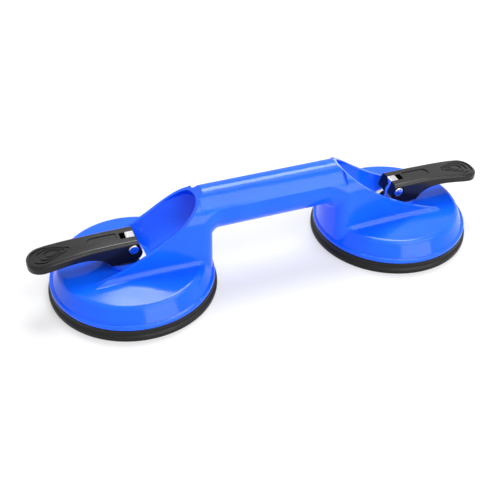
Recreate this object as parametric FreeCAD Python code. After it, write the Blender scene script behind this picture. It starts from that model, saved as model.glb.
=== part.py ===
"""Double suction-cup lifter for floor tiles.

A cast aluminium body joins two cup housings through a fluted round handle. Under each housing sits a
rubber pad with a steel plate. A pull stud hangs the plate from a cam lever, and the lever lies flat and
points outwards when the pad is drawn up and holds.

Millimetres, +Z up, the floor at z = 0 and the origin midway between the cups. Every piece of a cup is
drawn in the left cup's own frame, with the cup's axis at x = 0 and the handle towards +X. The right cup
is its mirror image.
"""
import FreeCAD, Part
import math
import os

V = FreeCAD.Vector
X_AXIS = V(1, 0, 0)
Y_AXIS = V(0, 1, 0)
Z_AXIS = V(0, 0, 1)

# Overall layout
CUP_SPACING = 205.0

# Rubber pad
PAD_RADIUS = 60.0
PAD_HEIGHT = 8.3
PAD_LIP_HEIGHT = 3.0
PAD_LIP_SLOPE = 1.2
PAD_RIM_INSET = 1.0
PAD_DISH_DEPTH = 4.5
PAD_DISH_RADIUS = 30.0
PAD_DISH_ROUNDING = 30.0
PAD_SEAL_WIDTH = 10.0
PAD_SEAL_ROUNDING = 8.0
PAD_LIP_ROUNDING = 0.8
PAD_GROOVES = 2
PAD_GROOVE_WIDTH = 1.6

# Cup housing
FLANGE_RADIUS = 58.4
FLANGE_HEIGHT = 3.2
FLANGE_FOOT_ROUNDING = 0.6
FLANGE_TOP_ROUNDING = 1.2
WALL_FOOT_RADIUS = 57.9
CROWN_EDGE_RADIUS = 51.2
CROWN_EDGE_Z = 22.4
CROWN_CENTRE_Z = 24.3
CASTING_WALL = 3.2
CAVITY_ROUNDING = 4.0
CAVITY_RISE = 1.0
SHOULDER_RADIUS = 4.5

# Neck between the cup and the handle
NECK_HALF_WIDTH = 21.0
NECK_FOOT_Z = 9.0
NECK_ARCH_OVERLAP = 10.0
NECK_ARCH_Z = 48.1
NECK_END_RADIUS = 57.0
NECK_CORNER_RADIUS = 9.0
NECK_BASE_FILLET = 3.5
NECK_BLEND_END = 61.0
BLEND_STATIONS = 8
BLEND_STEP = 0.1
HANDLE_ROOT_FILLET = 3.0
LIP_START = (-34.0, 22.0)
LIP_MIDDLE = (15.0, 42.75)
LIP_END = (51.5, 70.3)
LIP_WALL = 2.2

# Scoop let into the neck, and the core under it
SCOOP_HALL_END = 44.0
SCOOP_END_DEPTH = 11.0
SCOOP_RADIUS = 19.4
SCOOP_SLOPE_DEGREES = 31.0
SCOOP_FLOOR_START = 10.0
NECK_CORE_START = 18.0

# Handle
HANDLE_RADIUS = 16.3
HANDLE_Z = 54.6
FLUTE_LOW_ANGLE = 22.0
FLUTE_HIGH_ANGLE = 73.0
FLUTE_DEPTH = 1.0
FLUTE_START = 47.8
FLUTE_END_ROUNDING = 1.2

# Boss and stud guide at the cup's centre
BOSS_RADIUS = 17.0
BOSS_TOP_Z = 26.2
BOSS_TAPER = 0.5
BOSS_ROUNDING = 1.2
HUB_RADIUS = 13.0
HUB_BOTTOM_Z = 18.0

# Pull stud and what it carries
STUD_RADIUS = 5.0
STUD_BOTTOM_Z = 7.3
LUG_THICKNESS = 6.6
LUG_HALF_WIDTH = 3.3
LUG_FOOT_Z = 27.2
LUG_TOP_Z = 44.3
LUG_NARROWS_Z = 34.0
LUG_WAIST_ROUNDING = 6.0
LUG_TOP_ROUNDING = 1.0
RUNNING_CLEARANCE = 0.05
PLATE_RADIUS = 36.0
PLATE_THICKNESS = 2.0
PLATE_HUB_RADIUS = 9.0
PLATE_HUB_BOTTOM_Z = 7.0
PLATE_HOLES = 6
PLATE_HOLE_RADIUS = 3.0
PLATE_HOLE_CIRCLE = 24.0
NUT_ACROSS_FLATS = 16.0
NUT_HEIGHT = 4.0
NUT_CHAMFER = 1.0

# Lever
PIN_Z = 38.0
PIN_RADIUS = 2.5
PIN_HEAD_RADIUS = 3.6
PIN_HEAD_HEIGHT = 1.5
PIN_HEAD_ROUNDING = 0.7
PIN_TAIL = 1.6
COUNTERBORE_RADIUS = 4.6
COUNTERBORE_DEPTH = 1.0
LEVER_HALF_WIDTH = 10.2
LEVER_THUMB_HALF_WIDTH = 11.8
LEVER_REACH = 71.2
LEVER_TOP = ((-78.0, 38.9), (-53.0, 42.1), (-36.0, 43.7), (-18.0, 44.3), (3.2, 44.2))
LEVER_UNDERSIDE = ((-21.0, 33.4), (-29.0, 36.4), (-40.0, 37.3), (-53.0, 36.2), (-78.0, 35.4))
LEVER_WIDENS_FROM = -30.0
LEVER_WIDENS_TO = -56.0
LEVER_FLARE_RADIUS = 120.0
LEVER_THUMB_RADIUS = 60.0
LEVER_TIP_NARROWING = 0.4
LEVER_TIP_RADIUS = 10.4
LEVER_TRAVEL_DEGREES = 90.0
STUD_TRAVEL = 4.3
CAM_FLAT_DROP = 10.3
CAM_TOE = 16.0
CAM_STATIONS = 7
LEVER_SHOULDER = 2.4
LEVER_SKIN = 2.2
THUMB_RECESS_LENGTH = 31.0
THUMB_RECESS_HALF_WIDTH = 8.8
THUMB_RECESS_END_HALF_WIDTH = 5.9
THUMB_RECESS_POINT_RADIUS = 2.5
THUMB_RECESS_END_RADIUS = 5.5
THUMB_RIDGE_SCALES = ((1.0, 0.86), (0.72, 0.58), (0.44, 0.3))
THUMB_RECESS_MIDDLE = -53.0
RECESS_DEPTH = 0.6
PANEL_RECESS_INNER = -9.0
PANEL_RECESS_OUTER = -30.0
PANEL_RECESS_HALF_WIDTH = 4.6
PANEL_RECESS_INNER_CORNER = 2.0
PANEL_RECESS_OUTER_CORNER = 4.2
SLOT_HALF_WIDTH = 3.4
SLOT_DEPTH = 7.1
HOLLOW_INNER_END = -25.0
HOLLOW_OUTER_END = -64.0
HOLLOW_BAYS = 4
RIB_HALF = 0.7
RING_GAP = 0.1
RING_THICKNESS = 0.7
RING_RADIUS = 4.2
RING_GROOVE_RADIUS = 2.0
RING_MOUTH_HALF = 1.6

# Cam wear plate, guide bush and return spring
WEAR_PLATE_THICKNESS = 1.2
WEAR_PLATE_INNER_END = 9.2
WEAR_PLATE_OUTER_END = -14.0
WEAR_PLATE_HALF_WIDTH = 10.7
WEAR_PLATE_CORNER = 4.0
BUSH_RADIUS = 6.5
BUSH_FLANGE_THICKNESS = 1.2
SPRING_WIRE_RADIUS = 0.8
SPRING_MEAN_RADIUS = 11.5
SPRING_TURNS = 2.25


# ---------------------------------------------------------------- outlines

def in_side_plane(a, b):
    """A point of a side view: a runs along X and b up."""
    return V(a, 0, b)


def in_plan(a, b):
    """A point of a plan view: a runs along X and b along Y."""
    return V(a, b, 0)


def rounded_face(corners, place):
    """A flat face whose corners are (a, b, radius); place turns (a, b) into a point in space."""
    count = len(corners)
    starts, ends, middles = [], [], []
    for i, (a, b, radius) in enumerate(corners):
        here = V(a, b, 0)
        before = V(*corners[i - 1][:2], 0) - here
        after = V(*corners[(i + 1) % count][:2], 0) - here
        if radius == 0:
            starts.append(here)
            ends.append(here)
            middles.append(None)
            continue
        half_angle = before.getAngle(after) / 2
        reach = radius / math.tan(half_angle)
        before.normalize()
        after.normalize()
        bisector = before + after
        bisector.normalize()
        starts.append(here + before * reach)
        ends.append(here + after * reach)
        middles.append(here + bisector * (radius / math.sin(half_angle) - radius))
    edges = []
    for i in range(count):
        if middles[i] is not None:
            arc_points = [place(p.x, p.y) for p in (starts[i], middles[i], ends[i])]
            edges.append(Part.Arc(*arc_points).toShape())
        line_from, line_to = ends[i], starts[(i + 1) % count]
        if (line_to - line_from).Length > 1e-6:
            edges.append(Part.makeLine(place(line_from.x, line_from.y), place(line_to.x, line_to.y)))
    return Part.Face(Part.Wire(edges))


def turned(corners):
    """A solid of revolution about Z from (radius, z, corner radius) points."""
    return rounded_face(corners, in_side_plane).revolve(V(0, 0, 0), Z_AXIS, 360)


def cylinder(radius, z_low, z_high):
    return Part.makeCylinder(radius, z_high - z_low, V(0, 0, z_low))


def cross_cylinder(radius, y_low, y_high, z):
    """A cylinder along Y through x = 0."""
    return Part.makeCylinder(radius, y_high - y_low, V(0, y_low, z), Y_AXIS)


def block(x_low, x_high, y_low, y_high, z_low, z_high):
    return Part.makeBox(x_high - x_low, y_high - y_low, z_high - z_low, V(x_low, y_low, z_low))


# ---------------------------------------------------------------- body casting

def cup_core():
    """The domed cup, solid underneath and without its flange."""
    return turned([
        (0, PAD_HEIGHT, 0),
        (WALL_FOOT_RADIUS, PAD_HEIGHT, 0),
        (CROWN_EDGE_RADIUS, CROWN_EDGE_Z, SHOULDER_RADIUS),
        (0, CROWN_CENTRE_Z, 0),
    ])


def cup_flange():
    """The flat rim round the cup's foot that presses on the rubber pad."""
    flange_top = PAD_HEIGHT + FLANGE_HEIGHT
    inner = WALL_FOOT_RADIUS - CASTING_WALL
    return turned([
        (inner, PAD_HEIGHT, 0),
        (FLANGE_RADIUS, PAD_HEIGHT, FLANGE_FOOT_ROUNDING),
        (FLANGE_RADIUS, flange_top, FLANGE_TOP_ROUNDING),
        (inner, flange_top, 0),
    ])


def cup_cavity():
    """The hollow under the dome, with the hub of the stud guide left standing."""
    top = CROWN_EDGE_Z - CASTING_WALL
    return turned([
        (HUB_RADIUS, PAD_HEIGHT - 1, 0),
        (WALL_FOOT_RADIUS - CASTING_WALL, PAD_HEIGHT - 1, 0),
        (CROWN_EDGE_RADIUS - CASTING_WALL, top, CAVITY_ROUNDING),
        (HUB_RADIUS, top + CAVITY_RISE, CAVITY_ROUNDING / 2),
    ])


# The neck's straight sides end here and turn into its end wall round a corner
NECK_CORNER_X = math.sqrt((NECK_END_RADIUS - NECK_CORNER_RADIUS) ** 2
                          - (NECK_HALF_WIDTH - NECK_CORNER_RADIUS) ** 2)


def neck_stem(inset, x_start, z_low, z_high):
    """An upright block in the neck's plan, drawn in all round by inset.

    Its straight sides turn round a corner into an end wall that is concentric with the cup.
    """
    half_width = NECK_HALF_WIDTH - inset
    end_radius = NECK_END_RADIUS - inset
    corner = NECK_CORNER_RADIUS - inset
    corner_y = half_width - corner
    end_angle = math.atan2(corner_y, NECK_CORNER_X)
    middle_angle = (end_angle + math.pi / 2) / 2
    end_x = end_radius * math.cos(end_angle)
    end_y = end_radius * math.sin(end_angle)
    middle_x = NECK_CORNER_X + corner * math.cos(middle_angle)
    middle_y = corner_y + corner * math.sin(middle_angle)

    def corner_arc(side):
        return Part.Arc(V(NECK_CORNER_X, side * half_width, z_low), V(middle_x, side * middle_y, z_low),
                        V(end_x, side * end_y, z_low)).toShape()

    outline = Part.Wire([
        Part.makeLine(V(x_start, -half_width, z_low), V(NECK_CORNER_X, -half_width, z_low)),
        corner_arc(-1),
        Part.Arc(V(end_x, -end_y, z_low), V(end_radius, 0, z_low), V(end_x, end_y, z_low)).toShape(),
        corner_arc(1),
        Part.makeLine(V(NECK_CORNER_X, half_width, z_low), V(x_start, half_width, z_low)),
        Part.makeLine(V(x_start, half_width, z_low), V(x_start, -half_width, z_low)),
    ])
    return Part.Face(outline).extrude(V(0, 0, z_high - z_low))


def arched_bar(half_width, x_start, x_end, z_low):
    """A bar along X with upright sides and the neck's half-round top."""
    foot_near, foot_far = V(x_start, -half_width, z_low), V(x_start, half_width, z_low)
    near, far = V(x_start, -half_width, NECK_ARCH_Z), V(x_start, half_width, NECK_ARCH_Z)
    section = Part.Wire([
        Part.makeLine(foot_near, near),
        Part.Arc(near, V(x_start, 0, NECK_ARCH_Z + half_width), far).toShape(),
        Part.makeLine(far, foot_far),
        Part.makeLine(foot_far, foot_near),
    ])
    return Part.Face(section).extrude(V(x_end - x_start, 0, 0))


def handle_root():
    """The round bar that draws the neck's arch in to the handle."""
    rings = []
    for i in range(BLEND_STATIONS):
        t = i / (BLEND_STATIONS - 1)
        smooth = t * t * (3 - 2 * t)
        x = NECK_CORNER_X + (NECK_BLEND_END - NECK_CORNER_X) * t
        radius = NECK_HALF_WIDTH + (HANDLE_RADIUS + BLEND_STEP - NECK_HALF_WIDTH) * smooth
        centre_z = NECK_ARCH_Z + (HANDLE_Z - NECK_ARCH_Z) * smooth
        rings.append(Part.Wire(Part.makeCircle(radius, V(x, 0, centre_z), X_AXIS)))
    return Part.makeLoft(rings, True, False)


def face_kinds(solid, edge):
    """The kinds of surface that meet in an edge."""
    return {face.Surface.__class__ for face in solid.ancestorsOfType(edge, Part.Face)}


def is_neck_base(solid, edge):
    """True where the neck's upright walls stand on the cup."""
    kinds = face_kinds(solid, edge)
    on_side = Part.Plane in kinds and abs(abs(edge.CenterOfMass.y) - NECK_HALF_WIDTH) < 0.01
    return bool(kinds & {Part.Cone, Part.Toroid}) and (on_side or Part.Cylinder in kinds)


def is_handle_root(solid, edge):
    """True where the handle's root comes out of the neck's end wall."""
    kinds = face_kinds(solid, edge)
    box = edge.BoundBox
    under_arch = CROWN_CENTRE_Z + 5 < box.ZMin and box.ZMax < NECK_ARCH_Z + 0.2
    before_handle = edge.CenterOfMass.x < NECK_BLEND_END - 1
    return kinds == {Part.BSplineSurface, Part.Cylinder} and under_arch and before_handle


def neck_on_cup():
    """The cup with the neck and handle on it, filleted where they join, still without a scoop."""
    past_cup = -WALL_FOOT_RADIUS - 5
    stem = neck_stem(0, past_cup, NECK_FOOT_Z, NECK_ARCH_Z)
    solid = cup_core().fuse(stem).removeSplitter()
    base = [edge for edge in solid.Edges if is_neck_base(solid, edge)]
    solid = solid.makeFillet(NECK_BASE_FILLET, base)
    arch = arched_bar(NECK_HALF_WIDTH, past_cup, NECK_CORNER_X, NECK_ARCH_Z - NECK_ARCH_OVERLAP)
    solid = solid.fuse([arch, handle_root(), handle()]).removeSplitter()
    root = [edge for edge in solid.Edges if is_handle_root(solid, edge)]
    return solid.makeFillet(HANDLE_ROOT_FILLET, root)


def above_lip():
    """Everything over the scoop's lip, which curves up towards the handle, and all outwards of it."""
    top_z = NECK_ARCH_Z + NECK_HALF_WIDTH + 20
    out_x = -WALL_FOOT_RADIUS - 10
    start, middle, end = (V(x, 0, z) for x, z in (LIP_START, LIP_MIDDLE, LIP_END))
    corners = [end, V(end.x, 0, top_z), V(out_x, 0, top_z), V(out_x, 0, 0), V(start.x, 0, 0), start]
    edges = [Part.Arc(start, middle, end).toShape()]
    edges += [Part.makeLine(corners[i], corners[i + 1]) for i in range(len(corners) - 1)]
    reach = NECK_HALF_WIDTH + 10
    face = Part.Face(Part.Wire(edges))
    face.translate(V(0, -reach, 0))
    return face.extrude(V(0, 2 * reach, 0))


def handle():
    """Half of the round bar, from the neck to the middle."""
    start = V(NECK_CORNER_X, 0, HANDLE_Z)
    return Part.makeCylinder(HANDLE_RADIUS, CUP_SPACING / 2 - NECK_CORNER_X, start, X_AXIS)


def flute(side):
    """The round cutter that grooves the handle lengthwise, on the near side (-1) or the far side (1)."""
    middle = math.radians((FLUTE_LOW_ANGLE + FLUTE_HIGH_ANGLE) / 2)
    half_span = math.radians(FLUTE_HIGH_ANGLE - FLUTE_LOW_ANGLE) / 2
    half_chord = HANDLE_RADIUS * math.sin(half_span)
    cutter_radius = (half_chord ** 2 + FLUTE_DEPTH ** 2) / (2 * FLUTE_DEPTH)
    reach = HANDLE_RADIUS * math.cos(half_span) - FLUTE_DEPTH + cutter_radius
    centre = V(FLUTE_START, side * reach * math.cos(middle), HANDLE_Z + reach * math.sin(middle))
    cutter = Part.makeCylinder(cutter_radius, CUP_SPACING / 2 - FLUTE_START, centre, X_AXIS)
    rims = [edge for edge in cutter.Edges if len(edge.Vertexes) == 1]
    start_rim = min(rims, key=lambda edge: edge.CenterOfMass.x)
    return cutter.makeFillet(FLUTE_END_ROUNDING, [start_rim])


def scoop():
    """The trough that runs from the lever up into the handle's end, open along the lip."""
    inner = NECK_HALF_WIDTH - LIP_WALL
    hall = arched_bar(inner, -WALL_FOOT_RADIUS, SCOOP_HALL_END, PAD_HEIGHT)
    blind_end = Part.makeSphere(inner)
    squeeze = FreeCAD.Matrix()
    squeeze.scale(V(SCOOP_END_DEPTH / inner, 1, 1))
    blind_end = blind_end.transformGeometry(squeeze)
    blind_end.translate(V(SCOOP_HALL_END, 0, NECK_ARCH_Z))
    return hall.fuse(blind_end).common(channel(SCOOP_RADIUS))


def channel(radius):
    """The sloping round-bottomed channel that shapes the scoop's floor, open upwards."""
    slope = math.radians(SCOOP_SLOPE_DEGREES)
    along = V(math.cos(slope), 0, math.sin(slope))
    upward = V(-math.sin(slope), 0, math.cos(slope))
    floor_start = V(SCOOP_FLOOR_START, 0, CROWN_CENTRE_Z)
    axis_point = floor_start + upward * SCOOP_RADIUS
    length = 200
    low_end = axis_point - along * (length / 2)
    round_part = Part.makeCylinder(radius, length, low_end, along)
    upper_part = Part.makeBox(length, 2 * radius, length)
    upper_part.translate(V(0, -radius, 0))
    upper_part.rotate(V(0, 0, 0), Y_AXIS, -SCOOP_SLOPE_DEGREES)
    upper_part.translate(low_end)
    return round_part.fuse(upper_part)


def neck_core():
    """The hollow cast under the scoop from below, split by a lengthwise rib."""
    core = neck_stem(CASTING_WALL, NECK_CORE_START, PAD_HEIGHT - 1, HANDLE_Z - HANDLE_RADIUS - CASTING_WALL)
    rib = block(0, NECK_END_RADIUS, -CASTING_WALL / 2, CASTING_WALL / 2, 0, HANDLE_Z)
    return core.cut([channel(SCOOP_RADIUS + CASTING_WALL), rib])


def casting_end():
    """One cup, its neck and half of the handle."""
    core = cup_core()
    cutters = [above_lip().cut(core), scoop().cut(core), flute(-1), flute(1)]
    shell = neck_on_cup().cut(cutters)
    boss = turned([
        (0, PAD_HEIGHT, 0),
        (BOSS_RADIUS + BOSS_TAPER, PAD_HEIGHT, 0),
        (BOSS_RADIUS, BOSS_TOP_Z, BOSS_ROUNDING),
        (0, BOSS_TOP_Z, 0),
    ])
    solid = shell.fuse([cup_flange(), boss])
    hub_room = cylinder(HUB_RADIUS + 1, 0, HUB_BOTTOM_Z)
    return solid.cut([cup_cavity(), hub_room, neck_core(), cylinder(BUSH_RADIUS, 0, BOSS_TOP_Z + 1)])


# ---------------------------------------------------------------- pad, plate and pull stud

def rubber_pad():
    """The moulded rubber disc: a grooved sealing lip outside and a dished middle, drawn up to hold."""
    seal_inner = PAD_RADIUS - PAD_SEAL_WIDTH
    rim_radius = PAD_RADIUS - PAD_RIM_INSET
    disc = turned([
        (0, PAD_DISH_DEPTH, 0),
        (PAD_DISH_RADIUS, PAD_DISH_DEPTH, PAD_DISH_ROUNDING),
        (seal_inner, 0, PAD_SEAL_ROUNDING),
        (PAD_RADIUS, 0, 0.5),
        (PAD_RADIUS, PAD_LIP_HEIGHT, PAD_LIP_ROUNDING),
        (rim_radius, PAD_LIP_HEIGHT + PAD_LIP_SLOPE, PAD_LIP_ROUNDING),
        (rim_radius, PAD_HEIGHT, 0.5),
        (0, PAD_HEIGHT, 0),
    ])
    grooves = []
    for i in range(PAD_GROOVES):
        radius = PAD_RADIUS - PAD_SEAL_WIDTH * (i + 1) / (PAD_GROOVES + 1)
        grooves.append(Part.makeTorus(radius, PAD_GROOVE_WIDTH / 2))
    return disc.cut(grooves + [cylinder(PLATE_HUB_RADIUS, PLATE_HUB_BOTTOM_Z, PAD_HEIGHT + 1)])


def pad_plate():
    """The steel disc bonded to the rubber, with a tapped hub for the stud."""
    plate_top = PAD_HEIGHT + PLATE_THICKNESS
    plate = turned([
        (STUD_RADIUS, PLATE_HUB_BOTTOM_Z, 0),
        (PLATE_HUB_RADIUS, PLATE_HUB_BOTTOM_Z, 0),
        (PLATE_HUB_RADIUS, PAD_HEIGHT, 0),
        (PLATE_RADIUS, PAD_HEIGHT, 0),
        (PLATE_RADIUS, plate_top, 0.8),
        (STUD_RADIUS, plate_top, 0),
    ])
    key_holes = []
    for i in range(PLATE_HOLES):
        angle = 2 * math.pi * i / PLATE_HOLES
        hole = cylinder(PLATE_HOLE_RADIUS, PAD_HEIGHT - 1, plate_top + 1)
        hole.translate(V(math.cos(angle), math.sin(angle), 0) * PLATE_HOLE_CIRCLE)
        key_holes.append(hole)
    return plate.cut(key_holes)


def stud_lock_nut():
    """The thin hexagon nut that locks the stud in the plate's hub."""
    bottom = PAD_HEIGHT + PLATE_THICKNESS
    corner_radius = NUT_ACROSS_FLATS / math.sqrt(3)
    corners = []
    for i in range(6):
        angle = math.radians(60 * i)
        corners.append((corner_radius * math.cos(angle), corner_radius * math.sin(angle), 0))
    hexagon = rounded_face(corners, in_plan).extrude(V(0, 0, NUT_HEIGHT))
    hexagon.translate(V(0, 0, bottom))
    chamfer = turned([
        (STUD_RADIUS, bottom, 0),
        (corner_radius, bottom, 0),
        (corner_radius, bottom + NUT_HEIGHT - NUT_CHAMFER, 0),
        (NUT_ACROSS_FLATS / 2, bottom + NUT_HEIGHT, 0),
        (STUD_RADIUS, bottom + NUT_HEIGHT, 0),
    ])
    return hexagon.common(chamfer)


def pull_stud():
    """The round shank with a flat lug on top, which the lever's pin passes through."""
    shank = cylinder(STUD_RADIUS, STUD_BOTTOM_Z, LUG_FOOT_Z)
    lug = rounded_face([
        (-STUD_RADIUS, LUG_FOOT_Z - 2, 0),
        (STUD_RADIUS, LUG_FOOT_Z - 2, 0),
        (STUD_RADIUS, LUG_NARROWS_Z, LUG_WAIST_ROUNDING),
        (LUG_HALF_WIDTH, PIN_Z, LUG_WAIST_ROUNDING),
        (LUG_HALF_WIDTH, LUG_TOP_Z, LUG_TOP_ROUNDING),
        (-LUG_HALF_WIDTH, LUG_TOP_Z, LUG_TOP_ROUNDING),
        (-LUG_HALF_WIDTH, PIN_Z, LUG_WAIST_ROUNDING),
        (-STUD_RADIUS, LUG_NARROWS_Z, LUG_WAIST_ROUNDING),
    ], in_side_plane)
    lug.translate(V(0, -LUG_THICKNESS / 2, 0))
    lug = lug.extrude(V(0, LUG_THICKNESS, 0)).common(cylinder(STUD_RADIUS, 0, LUG_TOP_Z))
    pin_hole = cross_cylinder(PIN_RADIUS + RUNNING_CLEARANCE, -LUG_THICKNESS, LUG_THICKNESS, PIN_Z)
    return shank.fuse(lug).cut(pin_hole)


# ---------------------------------------------------------------- guide bush, wear plate and spring

def stud_guide_bush():
    """The flanged bush pressed up into the boss, in which the stud slides."""
    bore = STUD_RADIUS + RUNNING_CLEARANCE
    flange_bottom = HUB_BOTTOM_Z - BUSH_FLANGE_THICKNESS
    return turned([
        (bore, flange_bottom, 0),
        (HUB_RADIUS, flange_bottom, 0.4),
        (HUB_RADIUS, HUB_BOTTOM_Z, 0),
        (BUSH_RADIUS, HUB_BOTTOM_Z, 0),
        (BUSH_RADIUS, BOSS_TOP_Z, 0),
        (bore, BOSS_TOP_Z, 0),
    ])


def cam_wear_plate():
    """The steel plate on the boss that the lever's cheeks bear on."""
    plate = rounded_face([
        (WEAR_PLATE_OUTER_END, -WEAR_PLATE_HALF_WIDTH, WEAR_PLATE_CORNER),
        (WEAR_PLATE_INNER_END, -WEAR_PLATE_HALF_WIDTH, WEAR_PLATE_CORNER),
        (WEAR_PLATE_INNER_END, WEAR_PLATE_HALF_WIDTH, WEAR_PLATE_CORNER),
        (WEAR_PLATE_OUTER_END, WEAR_PLATE_HALF_WIDTH, WEAR_PLATE_CORNER),
    ], in_plan).extrude(V(0, 0, WEAR_PLATE_THICKNESS))
    plate.translate(V(0, 0, BOSS_TOP_Z))
    return plate.cut(cylinder(STUD_RADIUS + 0.4, 0, LUG_FOOT_Z + 1))


def return_spring():
    """The short coil spring that pushes the plate down when the lever is raised."""
    low = PAD_HEIGHT + PLATE_THICKNESS + SPRING_WIRE_RADIUS
    high = HUB_BOTTOM_Z - BUSH_FLANGE_THICKNESS - SPRING_WIRE_RADIUS
    pitch = (high - low) / SPRING_TURNS
    helix = Part.makeHelix(pitch, high - low, SPRING_MEAN_RADIUS)
    helix.translate(V(0, 0, low))
    start = V(SPRING_MEAN_RADIUS, 0, low)
    section = Part.Wire(Part.makeCircle(SPRING_WIRE_RADIUS, start, V(0, 1, 0)))
    return Part.Wire(helix.Edges).makePipeShell([section], True, True)


# ---------------------------------------------------------------- lever and its pin

def cam_point(degrees):
    """A point of the cam's inner corner, in side view.

    At each angle of the lever the lowest point of the cam lies below the pin by an amount that falls in
    proportion to the angle, so the stud drops evenly as the lever rises.
    """
    turn = math.radians(degrees)
    fall = STUD_TRAVEL / math.radians(LEVER_TRAVEL_DEGREES)
    drop = CAM_FLAT_DROP - fall * turn
    x = drop * math.sin(turn) - fall * math.cos(turn)
    z = -drop * math.cos(turn) - fall * math.sin(turn)
    return V(x, 0, PIN_Z + z)


def lever_side_view():
    """The lever's outline seen from the side, with the cam at its inner end."""
    cam = Part.BSplineCurve()
    cam.interpolate([cam_point(LEVER_TRAVEL_DEGREES * i / (CAM_STATIONS - 1)) for i in range(CAM_STATIONS)])
    cam_start, cam_end = cam_point(0), cam_point(LEVER_TRAVEL_DEGREES)
    toe = V(-CAM_TOE, 0, cam_start.z)
    underside = Part.BSplineCurve()
    underside.interpolate([V(x, 0, z) for x, z in LEVER_UNDERSIDE])
    top = Part.BSplineCurve()
    top.interpolate([V(x, 0, z) for x, z in LEVER_TOP])
    return Part.Face(Part.Wire([
        Part.makeLine(toe, cam_start),
        cam.toShape(),
        Part.makeLine(cam_end, top.EndPoint),
        top.toShape(),
        Part.makeLine(top.StartPoint, underside.EndPoint),
        underside.toShape(),
        Part.makeLine(underside.StartPoint, toe),
    ]))


def lever_plan():
    """The lever's outline seen from above: straight sides that widen to a rounded thumb end."""
    inner_end = CAM_TOE / 2
    tip_half_width = LEVER_THUMB_HALF_WIDTH - LEVER_TIP_NARROWING
    near = [
        (inner_end, LEVER_HALF_WIDTH, 0),
        (LEVER_WIDENS_FROM, LEVER_HALF_WIDTH, LEVER_FLARE_RADIUS),
        (LEVER_WIDENS_TO, LEVER_THUMB_HALF_WIDTH, LEVER_THUMB_RADIUS),
        (-LEVER_REACH, tip_half_width, LEVER_TIP_RADIUS),
    ]
    far = [(x, -y, radius) for x, y, radius in reversed(near)]
    return rounded_face(near + far, in_plan)


def teardrop(scale):
    """The thumb recess in plan, drawn about its own middle and scaled."""
    point_x = THUMB_RECESS_LENGTH / 2 * scale
    wide_x = -THUMB_RECESS_LENGTH / 5 * scale
    half_width = THUMB_RECESS_HALF_WIDTH * scale
    end_half_width = THUMB_RECESS_END_HALF_WIDTH * scale
    end_radius = THUMB_RECESS_END_RADIUS * scale
    outline = rounded_face([
        (point_x, 0, THUMB_RECESS_POINT_RADIUS * scale),
        (wide_x, half_width, end_radius),
        (-point_x, end_half_width, end_radius),
        (-point_x, -end_half_width, end_radius),
        (wide_x, -half_width, end_radius),
    ], in_plan)
    outline.translate(V(THUMB_RECESS_MIDDLE, 0, 0))
    return outline.extrude(V(0, 0, PIN_Z + 20))


def under_top(depth, half_width):
    """The lever's side view as a bar, lowered by depth, as wide as asked."""
    view = lever_side_view()
    view.translate(V(0, -half_width, -depth))
    return view.extrude(V(0, 2 * half_width, 0))


def lever_hollow():
    """The moulded hollow under the arm, with cross ribs left standing."""
    inside = under_top(LEVER_SKIN, LEVER_HALF_WIDTH - LEVER_SKIN)
    reach = LEVER_HALF_WIDTH
    room = block(HOLLOW_OUTER_END, HOLLOW_INNER_END, -reach, reach, 0, PIN_Z + 10)
    bay = (HOLLOW_INNER_END - HOLLOW_OUTER_END) / HOLLOW_BAYS
    for i in range(1, HOLLOW_BAYS):
        rib_x = HOLLOW_OUTER_END + bay * i
        room = room.cut(block(rib_x - RIB_HALF, rib_x + RIB_HALF, -reach, reach, 0, PIN_Z + 10))
    below = inside.fuse(under_top(LEVER_SKIN * 2, LEVER_HALF_WIDTH - LEVER_SKIN))
    return below.common(room)


def lever():
    """The moulded cam lever: two cheeks at the pin, a flat-topped arm and a thumb end."""
    reach = LEVER_THUMB_HALF_WIDTH + 5
    side = lever_side_view()
    side.translate(V(0, -reach, 0))
    body = side.extrude(V(0, 2 * reach, 0))
    plan = lever_plan().extrude(V(0, 0, PIN_Z + 20))
    body = body.common(plan)
    top = max(body.Faces, key=lambda face: face.CenterOfMass.z)
    body = body.makeFillet(LEVER_SHOULDER, [e for e in top.Edges if e.CenterOfMass.x < 0])
    slot = block(-SLOT_DEPTH, LEVER_REACH, -SLOT_HALF_WIDTH, SLOT_HALF_WIDTH, 0, PIN_Z + 20)
    pin_hole = cross_cylinder(PIN_RADIUS, -reach, reach, PIN_Z)
    cuts = [slot, pin_hole, lever_hollow()]
    floor = LEVER_HALF_WIDTH - COUNTERBORE_DEPTH
    for low, high in ((-reach, -floor), (floor, reach)):
        cuts.append(cross_cylinder(COUNTERBORE_RADIUS, low, high, PIN_Z))
    panel = rounded_face([
        (PANEL_RECESS_INNER, -PANEL_RECESS_HALF_WIDTH, PANEL_RECESS_INNER_CORNER),
        (PANEL_RECESS_INNER, PANEL_RECESS_HALF_WIDTH, PANEL_RECESS_INNER_CORNER),
        (PANEL_RECESS_OUTER, PANEL_RECESS_HALF_WIDTH, PANEL_RECESS_OUTER_CORNER),
        (PANEL_RECESS_OUTER, -PANEL_RECESS_HALF_WIDTH, PANEL_RECESS_OUTER_CORNER),
    ], in_plan).extrude(V(0, 0, PIN_Z + 20))
    low_top = under_top(RECESS_DEPTH, reach)
    cuts.append(panel.cut(low_top))
    for outer, inner in THUMB_RIDGE_SCALES:
        cuts.append(teardrop(outer).cut(teardrop(inner)).cut(low_top))
    return body.cut(cuts)


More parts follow.
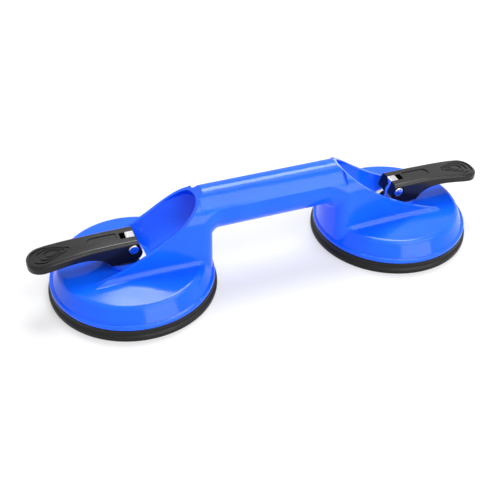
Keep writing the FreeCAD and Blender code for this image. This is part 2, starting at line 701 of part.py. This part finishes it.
def lever_pivot_pin():
    """The steel pin through both cheeks and the lug: a domed head in front, a grooved tail behind."""
    face = LEVER_HALF_WIDTH - COUNTERBORE_DEPTH
    tail = face + PIN_TAIL
    shaft = cross_cylinder(PIN_RADIUS, -face, tail, PIN_Z)
    head = turned([
        (0, 0, 0),
        (PIN_HEAD_RADIUS, 0, 0),
        (PIN_HEAD_RADIUS, PIN_HEAD_HEIGHT, PIN_HEAD_ROUNDING),
        (0, PIN_HEAD_HEIGHT, 0),
    ])
    head.rotate(V(0, 0, 0), X_AXIS, 90)
    head.translate(V(0, -face, PIN_Z))
    groove = cross_cylinder(PIN_RADIUS + 1, face + RING_GAP, face + RING_GAP + RING_THICKNESS, PIN_Z)
    groove = groove.cut(cross_cylinder(RING_GROOVE_RADIUS, 0, tail + 1, PIN_Z))
    return shaft.fuse(head).cut(groove)


def pin_retaining_ring():
    """The spring clip in the pin's groove, open on one side."""
    near = LEVER_HALF_WIDTH - COUNTERBORE_DEPTH + RING_GAP
    ring = cross_cylinder(RING_RADIUS, near, near + RING_THICKNESS, PIN_Z)
    bore = cross_cylinder(RING_GROOVE_RADIUS, 0, near + 2, PIN_Z)
    mouth = block(-RING_MOUTH_HALF, RING_MOUTH_HALF, near - 1, near + 2, PIN_Z - RING_RADIUS - 1, PIN_Z)
    return ring.cut([bore, mouth])


# ---------------------------------------------------------------- the whole lifter

def placed(shape, side):
    """The left cup's piece, or its mirror image on the right."""
    moved = shape.copy()
    moved.translate(V(-CUP_SPACING / 2, 0, 0))
    return moved if side == "left" else moved.mirror(V(0, 0, 0), X_AXIS)


os.makedirs("parts", exist_ok=True)

end = casting_end()
body_casting = placed(end, "left").fuse(placed(end, "right")).removeSplitter()
body_casting.exportStep("parts/body_casting.step")

for side in ("left", "right"):
    for make in (rubber_pad, pad_plate, pull_stud, stud_lock_nut, stud_guide_bush, cam_wear_plate,
                 return_spring, lever, lever_pivot_pin, pin_retaining_ring):
        placed(make(), side).exportStep("parts/%s_%s.step" % (make.__name__, side))
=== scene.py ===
import math

import bmesh
import bpy
from mathutils import Matrix, Vector


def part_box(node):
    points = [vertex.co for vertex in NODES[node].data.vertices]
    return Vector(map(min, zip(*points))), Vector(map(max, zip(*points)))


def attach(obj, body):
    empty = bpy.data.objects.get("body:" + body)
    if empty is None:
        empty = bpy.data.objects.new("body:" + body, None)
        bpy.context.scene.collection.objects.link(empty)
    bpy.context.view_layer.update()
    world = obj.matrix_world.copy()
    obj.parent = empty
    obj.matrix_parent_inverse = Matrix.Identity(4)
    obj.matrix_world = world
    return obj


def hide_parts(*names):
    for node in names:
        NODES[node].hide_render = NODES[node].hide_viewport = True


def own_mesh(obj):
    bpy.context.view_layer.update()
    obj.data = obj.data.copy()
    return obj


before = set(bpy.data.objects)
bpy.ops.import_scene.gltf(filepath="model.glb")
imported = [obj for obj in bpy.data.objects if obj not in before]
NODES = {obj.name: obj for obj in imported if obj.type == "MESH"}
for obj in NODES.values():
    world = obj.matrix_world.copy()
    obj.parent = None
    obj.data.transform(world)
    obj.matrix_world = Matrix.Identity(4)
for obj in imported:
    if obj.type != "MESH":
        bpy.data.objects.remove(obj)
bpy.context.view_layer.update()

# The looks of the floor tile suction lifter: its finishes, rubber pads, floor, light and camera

MM = 0.001
SIDES = ("left", "right")


# ---------------------------------------------------------------- colour and node helpers

def colour(hex_code):
    """An sRGB hex colour as linear values, fully opaque."""
    channels = [int(hex_code[i:i + 2], 16) / 255 for i in (1, 3, 5)]
    linear = [c / 12.92 if c <= 0.04045 else ((c + 0.055) / 1.055) ** 2.4 for c in channels]
    return (*linear, 1.0)


def node(tree, kind, settings=None, **links):
    """Adds a shader node with its settings, and fills its inputs with values or links.

    An input is given by its name, with _ for each space, or by its place, as _0.
    """
    made = tree.nodes.new(kind)
    for name, value in (settings or {}).items():
        setattr(made, name, value)
    for name, value in links.items():
        place = int(name[1:]) if name[0] == "_" else name.replace("_", " ")
        socket = made.inputs[place]
        if isinstance(value, bpy.types.NodeSocket):
            tree.links.new(value, socket)
        else:
            socket.default_value = value
    return made


def per_metre(size_mm):
    """The scale that gives a noise or wave pattern features of this size."""
    return 1000 / size_mm


def new_material(name):
    """An empty node material, its tree and a texture position in the part's own metres."""
    material = bpy.data.materials.new(name)
    material.use_nodes = True
    material.node_tree.nodes.clear()
    place = node(material.node_tree, "ShaderNodeTexCoord").outputs["Object"]
    return material, material.node_tree, place


def finished(material, shader):
    """Wires a shader to the material's output."""
    node(material.node_tree, "ShaderNodeOutputMaterial", Surface=shader.outputs[0])
    return material


def noise(tree, place, size_mm, detail=2.0):
    """Even random mottling of the given feature size, from 0 to 1 about 0.5."""
    made = node(tree, "ShaderNodeTexNoise", Vector=place, Scale=per_metre(size_mm), Detail=detail)
    return made.outputs[0]


def ranged(tree, value, low, high):
    """A 0 to 1 value stretched to run from low to high, most of it from the middle of its range."""
    return node(tree, "ShaderNodeMapRange", Value=value, From_Min=0.3, From_Max=0.7,
                To_Min=low, To_Max=high).outputs[0]


def bumped(tree, height, depth_mm, strength, under=None):
    """A surface normal raised by height, over another bump if one is given."""
    links = {"Height": height, "Distance": depth_mm * MM, "Strength": strength}
    if under is not None:
        links["Normal"] = under
    return node(tree, "ShaderNodeBump", **links).outputs["Normal"]


def softened(tree, radius_mm):
    """A surface normal that turns sharp edges into narrow rounded ones."""
    return node(tree, "ShaderNodeBevel", {"samples": 6}, Radius=radius_mm * MM).outputs[0]


def blended(tree, share, first, second):
    """One colour going over into another by a 0 to 1 share."""
    return node(tree, "ShaderNodeMix", {"data_type": "RGBA"}, _0=share, _6=first, _7=second).outputs[2]


def dress(piece, material):
    """Gives a piece this material and no other."""
    piece.data.materials.clear()
    piece.data.materials.append(material)


# ---------------------------------------------------------------- finishes

def gloss_paint_on_cast_aluminium():
    """Stoved gloss paint sprayed on a sand-blasted casting.

    It levels out to a deep shine, with the faint ripple of sprayed paint and the slow waviness of the
    casting under it, which makes the edges of reflections wander.
    """
    material, tree, place = new_material("blue_gloss_paint_on_cast_aluminium")
    mottle = ranged(tree, noise(tree, place, 28), 0.0, 1.0)
    pigment = blended(tree, mottle, colour("#0A5AFF"), colour("#0F61FF"))
    casting_waves = bumped(tree, noise(tree, place, 30, 1.0), 0.5, 0.5, softened(tree, 0.8))
    spray_ripple = bumped(tree, noise(tree, place, 2.2, 2.0), 0.02, 0.35, casting_waves)
    roughness = ranged(tree, noise(tree, place, 14, 3.0), 0.11, 0.16)
    shader = node(tree, "ShaderNodeBsdfPrincipled", Base_Color=pigment, Roughness=roughness, IOR=1.5,
                  Specular_IOR_Level=0.28, Normal=spray_ripple)
    return finished(material, shader)


def moulded_rubber():
    """Compression-moulded natural rubber: soft black and dull, with a fine bloom from the mould."""
    material, tree, place = new_material("black_moulded_rubber")
    bloom = ranged(tree, noise(tree, place, 9, 4.0), 0.0, 1.0)
    shade = blended(tree, bloom, colour("#070706"), colour("#0E0E0D"))
    # Real mould texture is about 0.1 mm, drawn coarser so that it shows
    skin = bumped(tree, noise(tree, place, 0.6, 3.0), 0.02, 0.4)
    roughness = ranged(tree, noise(tree, place, 5), 0.38, 0.52)
    shader = node(tree, "ShaderNodeBsdfPrincipled", Base_Color=shade, Roughness=roughness, IOR=1.52,
                  Specular_IOR_Level=0.28, Normal=skin)
    return finished(material, shader)


def glass_filled_nylon():
    """Injection-moulded black nylon with glass fibre.

    It has a satin skin with a fine grain and faint flow streaks.
    """
    material, tree, place = new_material("black_glass_filled_nylon")
    along = node(tree, "ShaderNodeMapping", Vector=place, Scale=(0.25, 1, 1)).outputs[0]
    flow = ranged(tree, noise(tree, along, 5, 4.0), 0.0, 1.0)
    shade = blended(tree, flow, colour("#0A0A0C"), colour("#101013"))
    # Spark-eroded mould grain is about 0.2 mm, drawn coarser so that it shows
    grain = bumped(tree, noise(tree, place, 0.8, 3.0), 0.02, 0.25, softened(tree, 0.15))
    roughness = ranged(tree, noise(tree, along, 7, 3.0), 0.20, 0.27)
    shader = node(tree, "ShaderNodeBsdfPrincipled", Base_Color=shade, Roughness=roughness, IOR=1.53,
                  Specular_IOR_Level=0.3, Normal=grain)
    return finished(material, shader)


def metal(name, hex_low, hex_high, rough_low, rough_high, mark_mm, mark_depth_mm):
    """Bare or plated metal whose tone, shine and fine marks wander a little."""
    material, tree, place = new_material(name)
    tone = ranged(tree, noise(tree, place, 6, 3.0), 0.0, 1.0)
    shade = blended(tree, tone, colour(hex_low), colour(hex_high))
    across = node(tree, "ShaderNodeMapping", Vector=place, Scale=(1, 1, 6)).outputs[0]
    marks = noise(tree, across, mark_mm, 2.0)
    roughness = ranged(tree, marks, rough_low, rough_high)
    shader = node(tree, "ShaderNodeBsdfPrincipled", Base_Color=shade, Metallic=1.0, Roughness=roughness,
                  Normal=bumped(tree, marks, mark_depth_mm, 0.3))
    return finished(material, shader)


def turned_acetal():
    """Natural acetal turned on a lathe: waxy off-white with fine turning rings."""
    material, tree, place = new_material("natural_turned_acetal")
    tone = ranged(tree, noise(tree, place, 8), 0.0, 1.0)
    shade = blended(tree, tone, colour("#D9D6CC"), colour("#E2E0D8"))
    across = node(tree, "ShaderNodeMapping", Vector=place, Scale=(1, 1, 8)).outputs[0]
    rings = noise(tree, across, 3)
    shader = node(tree, "ShaderNodeBsdfPrincipled", Base_Color=shade, Roughness=0.42, IOR=1.48,
                  Normal=bumped(tree, rings, 0.03, 0.3))
    return finished(material, shader)


PAINT = gloss_paint_on_cast_aluminium()
RUBBER = moulded_rubber()
NYLON = glass_filled_nylon()
# Ground and buffed, so that it mirrors the room with a slight blur
POLISHED = metal("ground_and_polished_steel", "#CFCFD2", "#DEDEE0", 0.10, 0.20, 1.2, 0.01)
# Bright zinc over a rolled or turned surface: a soft silvery sheen
PLATED = metal("zinc_plated_steel", "#B4B7BA", "#C6C8CA", 0.26, 0.38, 2.0, 0.02)
# Drawn wire and stamped strip, oiled and left bare: darker and satin
SPRING = metal("drawn_spring_steel", "#77797C", "#8A8C8F", 0.28, 0.40, 1.0, 0.02)
ACETAL = turned_acetal()

FINISHES = {
    "body_casting": PAINT,
    "rubber_pad": RUBBER,
    "lever_pivot_pin": POLISHED,
    "lever": NYLON,
    "pull_stud": POLISHED,
    "cam_wear_plate": POLISHED,
    "pad_plate": PLATED,
    "stud_lock_nut": PLATED,
    "return_spring": SPRING,
    "pin_retaining_ring": SPRING,
    "stud_guide_bush": ACETAL,
}

for name, piece in NODES.items():
    kind = name
    for side in SIDES:
        kind = kind.removesuffix("_" + side)
    dress(piece, FINISHES[kind])


# ---------------------------------------------------------------- rubber pads

# In millimetres; the pad's edge is kept just inside the box of its solid
PAD_RADIUS = 59.99
RIM_RADIUS = 58.5
PAD_TOP = 8.3
LIP_TOP = 3.5
RIM_FOOT = 4.2
SEAL_INNER = 50.0
DISH_RADIUS = 30.0
DISH_HEIGHT = 4.5
HUB_RADIUS = 9.0
HUB_FLOOR = 5.5
GROOVE_RADII = (53.3, 56.7)
GROOVE = 0.8
PAD_STEPS = 144


def profile_face(shape, corners):
    """A flat face in the XZ plane from (radius, z, rounding) corners in millimetres."""
    points = [shape.verts.new((radius * MM, 0, z * MM)) for radius, z, _ in corners]
    shape.faces.new(points)
    for point, (_, _, rounding) in zip(points, corners):
        if rounding:
            bmesh.ops.bevel(shape, geom=[point], offset=rounding * MM, affect="VERTICES", segments=4,
                            profile=0.5, material=-1)


def turned_piece(name, corners, centre_x):
    """A closed turned piece about the upright axis through centre_x."""
    shape = bmesh.new()
    profile_face(shape, corners)
    bmesh.ops.delete(shape, geom=list(shape.faces), context="FACES_ONLY")
    on_axis = [e for e in shape.edges if all(v.co.x < 0.01 * MM for v in e.verts)]
    bmesh.ops.delete(shape, geom=on_axis, context="EDGES")
    geometry = list(shape.verts) + list(shape.edges)
    bmesh.ops.spin(shape, geom=geometry, cent=(0, 0, 0), axis=(0, 0, 1), angle=math.tau,
                   steps=PAD_STEPS, use_merge=True)
    bmesh.ops.remove_doubles(shape, verts=list(shape.verts), dist=0.001 * MM)
    bmesh.ops.recalc_face_normals(shape, faces=list(shape.faces))
    bmesh.ops.translate(shape, verts=list(shape.verts), vec=(centre_x, 0, 0))
    mesh = bpy.data.meshes.new(name)
    shape.to_mesh(mesh)
    shape.free()
    mesh.shade_smooth()
    mesh.set_sharp_from_angle(angle=math.radians(35))
    piece = bpy.data.objects.new(name, mesh)
    bpy.context.scene.collection.objects.link(piece)
    dress(piece, RUBBER)
    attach(piece, "casting")
    return piece


def seal_corners():
    """The outer ring of the pad: a grooved foot, a thin lip, and a band above it set back a little."""
    corners = [(SEAL_INNER, PAD_TOP, 0), (SEAL_INNER, 0.15, 0)]
    for radius in GROOVE_RADII:
        corners += [(radius - GROOVE, 0, 0.3), (radius, GROOVE, 0.4), (radius + GROOVE, 0, 0.3)]
    corners += [
        (PAD_RADIUS, 0, 0.6),
        (PAD_RADIUS, LIP_TOP, 0.9),
        (RIM_RADIUS, RIM_FOOT, 0.3),
        (RIM_RADIUS, PAD_TOP, 0.6),
    ]
    return corners


DIAPHRAGM_CORNERS = [
    (0, DISH_HEIGHT, 0),
    (DISH_RADIUS, DISH_HEIGHT, 6),
    (SEAL_INNER, 0.15, 0),
    (SEAL_INNER, PAD_TOP, 0),
    (HUB_RADIUS, PAD_TOP, 0),
    (HUB_RADIUS, HUB_FLOOR, 0),
    (0, HUB_FLOOR, 0),
]

for side in SIDES:
    low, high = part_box("rubber_pad_" + side)
    centre_x = (low[0] + high[0]) / 2
    seal = turned_piece("rubber_seal_ring_" + side, seal_corners(), centre_x)
    diaphragm = turned_piece("rubber_diaphragm_" + side, DIAPHRAGM_CORNERS, centre_x)
    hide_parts("rubber_pad_" + side)
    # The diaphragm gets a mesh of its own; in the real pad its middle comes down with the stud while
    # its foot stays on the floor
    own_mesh(diaphragm)


# ---------------------------------------------------------------- floor, light and camera

CAMERA_AZIMUTH = math.radians(-22.055)
CAMERA_ELEVATION = math.radians(38.725)
CAMERA_ROLL = math.radians(1.39)
CAMERA_DISTANCE = 645.95 * MM
CAMERA_TARGET = Vector((-10.195, 6.82, 0)) * MM
CAMERA_LENS = 61.48

FLOOR_HALF_WIDTH = 3.0
SHADED_FLOOR = 0.3
WHITE_FLOOR = 0.8


def seen_directly(tree):
    """1 for what the camera sees, also in a mirror or through glass, and 0 for light on things."""
    path = node(tree, "ShaderNodeLightPath")
    mirror = node(tree, "ShaderNodeMath", {"operation": "MAXIMUM"}, _0=path.outputs["Is Glossy Ray"],
                  _1=path.outputs["Is Transmission Ray"])
    return node(tree, "ShaderNodeMath", {"operation": "MAXIMUM"}, _0=path.outputs["Is Camera Ray"],
                _1=mirror.outputs[0]).outputs[0]


def floor_material():
    """Pale studio paper, washed out to white where it is seen, but for the object's soft shadow.

    Away from the object it goes over into plain white, so that it has no horizon.
    """
    material, tree, place = new_material("white_studio_paper")
    paper = node(tree, "ShaderNodeBsdfDiffuse", Color=(0.85, 0.85, 0.85, 1))
    pale_paper = node(tree, "ShaderNodeBsdfDiffuse", Color=(0.76, 0.76, 0.76, 1))
    glow = node(tree, "ShaderNodeEmission", Color=(1, 1, 1, 1), Strength=1.0)
    distance = node(tree, "ShaderNodeVectorMath", {"operation": "LENGTH"}, _0=place).outputs["Value"]
    glow_share = node(tree, "ShaderNodeMapRange", Value=distance, From_Min=SHADED_FLOOR,
                      From_Max=WHITE_FLOOR, To_Min=0.4, To_Max=1.0).outputs[0]
    seen_paper = node(tree, "ShaderNodeMixShader", _0=glow_share, _1=pale_paper.outputs[0],
                      _2=glow.outputs[0])
    shader = node(tree, "ShaderNodeMixShader", _0=seen_directly(tree), _1=paper.outputs[0],
                  _2=seen_paper.outputs[0])
    return finished(material, shader)


def add_floor():
    """The paper that the part stands on."""
    mesh = bpy.data.meshes.new("floor")
    shape = bmesh.new()
    bmesh.ops.create_grid(shape, x_segments=1, y_segments=1, size=FLOOR_HALF_WIDTH)
    shape.to_mesh(mesh)
    shape.free()
    floor = bpy.data.objects.new("floor", mesh)
    bpy.context.scene.collection.objects.link(floor)
    dress(floor, floor_material())


def place_camera():
    """A camera that looks down on the part from the left in front, level but for a slight roll."""
    back = Vector((math.sin(CAMERA_AZIMUTH) * math.cos(CAMERA_ELEVATION),
                   -math.cos(CAMERA_AZIMUTH) * math.cos(CAMERA_ELEVATION),
                   math.sin(CAMERA_ELEVATION)))
    right = (-back).cross(Vector((0, 0, 1))).normalized()
    up = right.cross(-back)
    turned_right = math.cos(CAMERA_ROLL) * right + math.sin(CAMERA_ROLL) * up
    turned_up = math.cos(CAMERA_ROLL) * up - math.sin(CAMERA_ROLL) * right
    data = bpy.data.cameras.new("camera")
    data.lens = CAMERA_LENS
    data.clip_start = 0.01
    camera = bpy.data.objects.new("camera", data)
    basis = Matrix((turned_right, turned_up, back)).transposed().to_4x4()
    camera.matrix_world = Matrix.Translation(CAMERA_TARGET + back * CAMERA_DISTANCE) @ basis
    bpy.context.scene.collection.objects.link(camera)
    bpy.context.scene.camera = camera


HEADING = Vector((-math.sin(CAMERA_AZIMUTH), math.cos(CAMERA_AZIMUTH), 0))
ACROSS = Vector((HEADING.y, -HEADING.x, 0))


def add_softbox(name, behind, aside, height, size, brightness):
    """A rectangular lamp aimed at the part, placed from it by the way that the camera faces.

    Brightness is what its face would show in a mirror, where white is 1.
    """
    data = bpy.data.lights.new(name, "AREA")
    data.shape = "RECTANGLE"
    data.size, data.size_y = size
    data.energy = brightness * math.pi * size[0] * size[1]
    lamp = bpy.data.objects.new(name, data)
    lamp.location = HEADING * behind + ACROSS * aside + Vector((0, 0, height))
    lamp.rotation_euler = lamp.location.to_track_quat("Z", "Y").to_euler()
    bpy.context.scene.collection.objects.link(lamp)


def add_softboxes():
    """Three large soft lamps: high behind the part, high at its right and low in front."""
    add_softbox("rear_softbox", 1.22, 0.10, 2.06, (1.4, 1.06), 10.5)
    add_softbox("right_softbox", -0.60, 1.20, 2.30, (2.2, 1.4), 3.5)
    add_softbox("front_softbox", -1.60, 1.40, 0.70, (1.8, 1.3), 3.3)


def world_light():
    """Dim even light on the object, in a room that looks white to the camera and in reflections."""
    world = bpy.data.worlds.new("studio")
    bpy.context.scene.world = world
    world.use_nodes = True
    tree = world.node_tree
    tree.nodes.clear()
    strength = node(tree, "ShaderNodeMapRange", Value=seen_directly(tree), To_Min=0.5, To_Max=1.0)
    background = node(tree, "ShaderNodeBackground", Color=(1, 1, 1, 1), Strength=strength.outputs[0])
    node(tree, "ShaderNodeOutputWorld", Surface=background.outputs[0])


add_floor()
place_camera()
world_light()
add_softboxes()

bpy.context.scene.view_settings.view_transform = "Standard"
